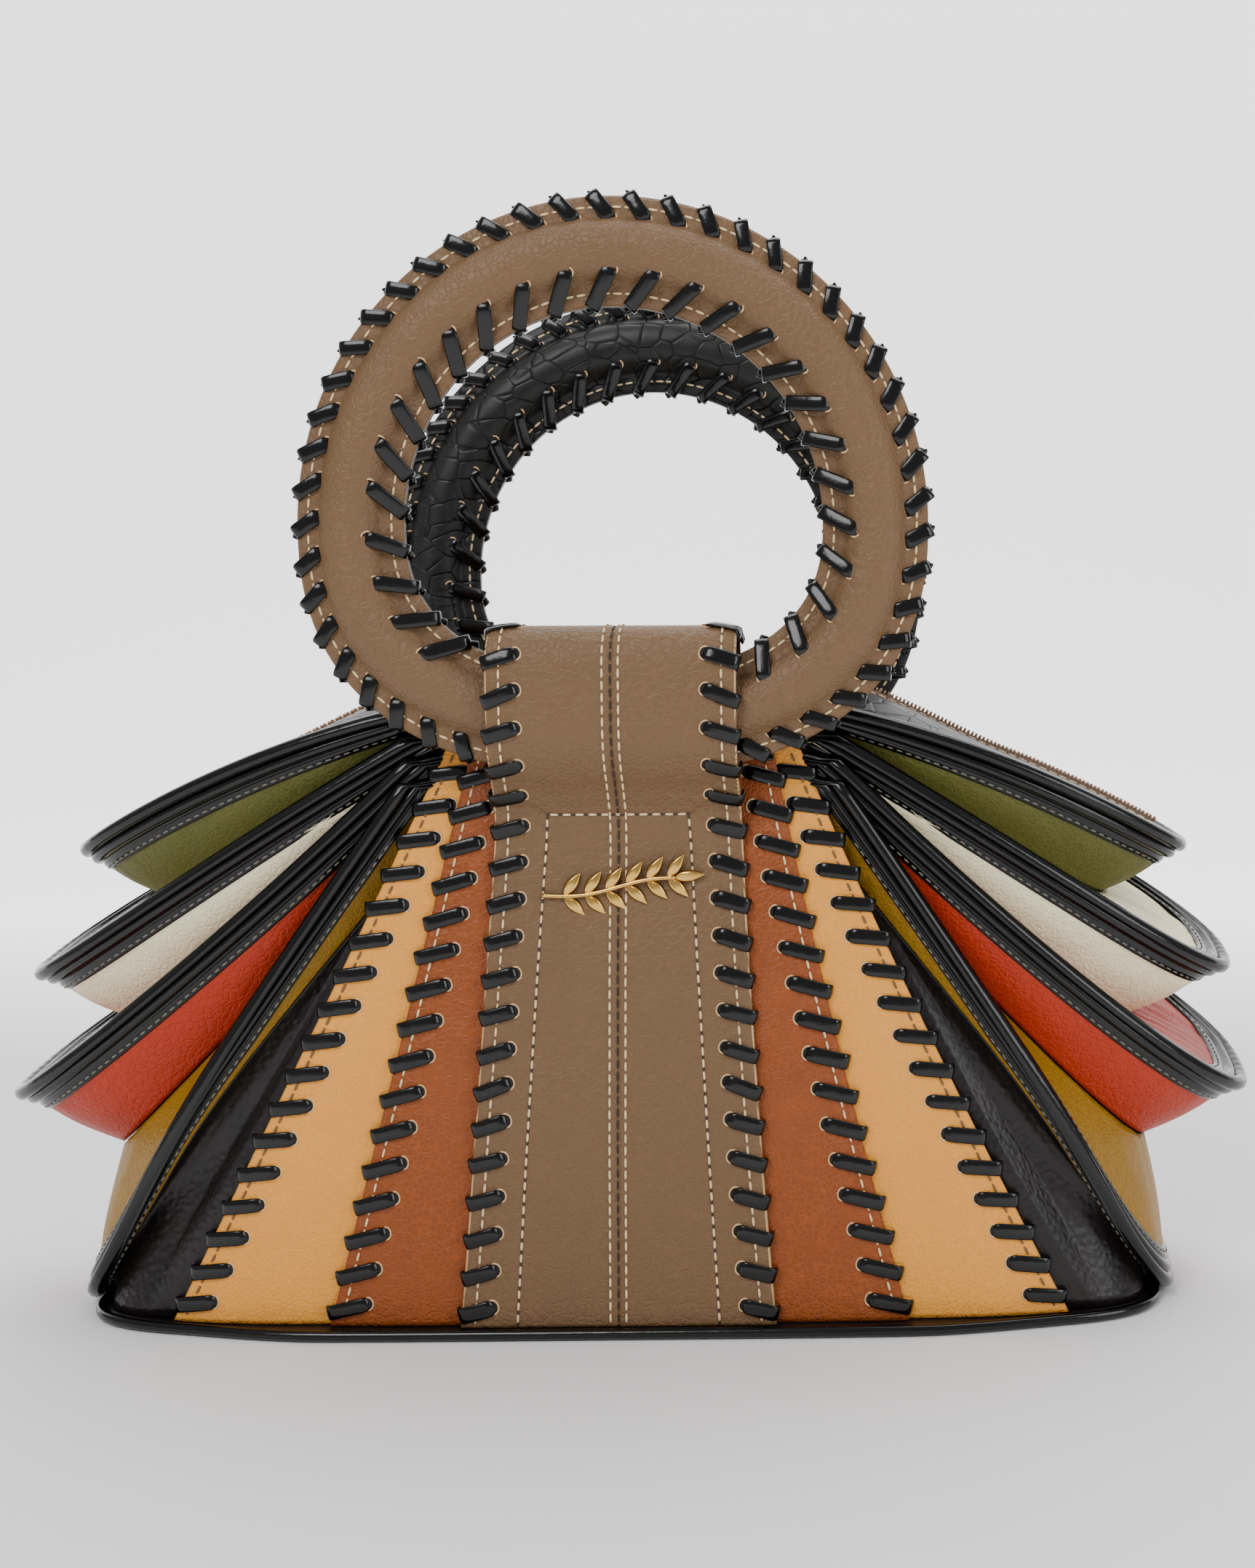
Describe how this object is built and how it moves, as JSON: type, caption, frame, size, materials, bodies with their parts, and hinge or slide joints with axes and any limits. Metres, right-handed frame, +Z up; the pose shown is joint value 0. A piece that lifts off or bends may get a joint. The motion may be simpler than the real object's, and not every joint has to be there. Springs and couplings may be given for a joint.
{
  "type": "handbag",
  "caption": "Structured leather handbag with fanned, piped side folds in several colours, two laced padded ring handles and a wide central strap.",
  "frame": {"origin": "middle of the base's underside", "axes": "+Z up, -Y towards the front with the ornament, +X to the right as seen from the front"},
  "size_m": [0.4328, 0.1339, 0.3721],
  "materials": {
    "taupe_leather": "smooth, satin",
    "rust_leather": "smooth, satin",
    "tan_leather": "smooth, satin",
    "green_leather": "smooth, matt",
    "cream_leather": "smooth, matt",
    "red_leather": "smooth, matt",
    "mustard_leather": "smooth, matt",
    "dark_leather": "pebbled, half gloss",
    "embossed_leather": "scale embossed, half gloss",
    "patent_piping": "patent, glossy",
    "zip_cloth": "woven tape with nylon teeth",
    "gold_metal": "polished"
  },
  "bodies": {
    "root": {"base_panel": "dark_leather", "base_piping": "patent_piping", "front_strap": "taupe_leather", "back_strap": "taupe_leather", "front_ring_outer_face": "taupe_leather", "front_ring_inner_face": "embossed_leather", "back_ring_outer_face": "taupe_leather", "back_ring_inner_face": "embossed_leather", "top_front": "embossed_leather", "top_back": "embossed_leather", "rust_panel_front_left": "rust_leather", "rust_panel_front_right": "rust_leather", "rust_panel_back_left": "rust_leather", "rust_panel_back_right": "rust_leather", "tan_panel_front_left": "tan_leather", "tan_panel_front_right": "tan_leather", "tan_panel_back_left": "tan_leather", "tan_panel_back_right": "tan_leather", "green_leaf_left": "green_leather", "green_leaf_right": "green_leather", "cream_fold_left": "cream_leather", "cream_fold_right": "cream_leather", "red_fold_left": "red_leather", "red_fold_right": "red_leather", "mustard_fold_left": "mustard_leather", "mustard_fold_right": "mustard_leather", "lower_gusset_left": "dark_leather", "lower_gusset_right": "dark_leather", "piping_1_left": "patent_piping", "piping_2_left": "patent_piping", "piping_3_left": "patent_piping", "piping_4_left": "patent_piping", "piping_1_right": "patent_piping", "piping_2_right": "patent_piping", "piping_3_right": "patent_piping", "piping_4_right": "patent_piping", "zip": "zip_cloth", "ornament": "gold_metal"}
  },
  "joints": []
}
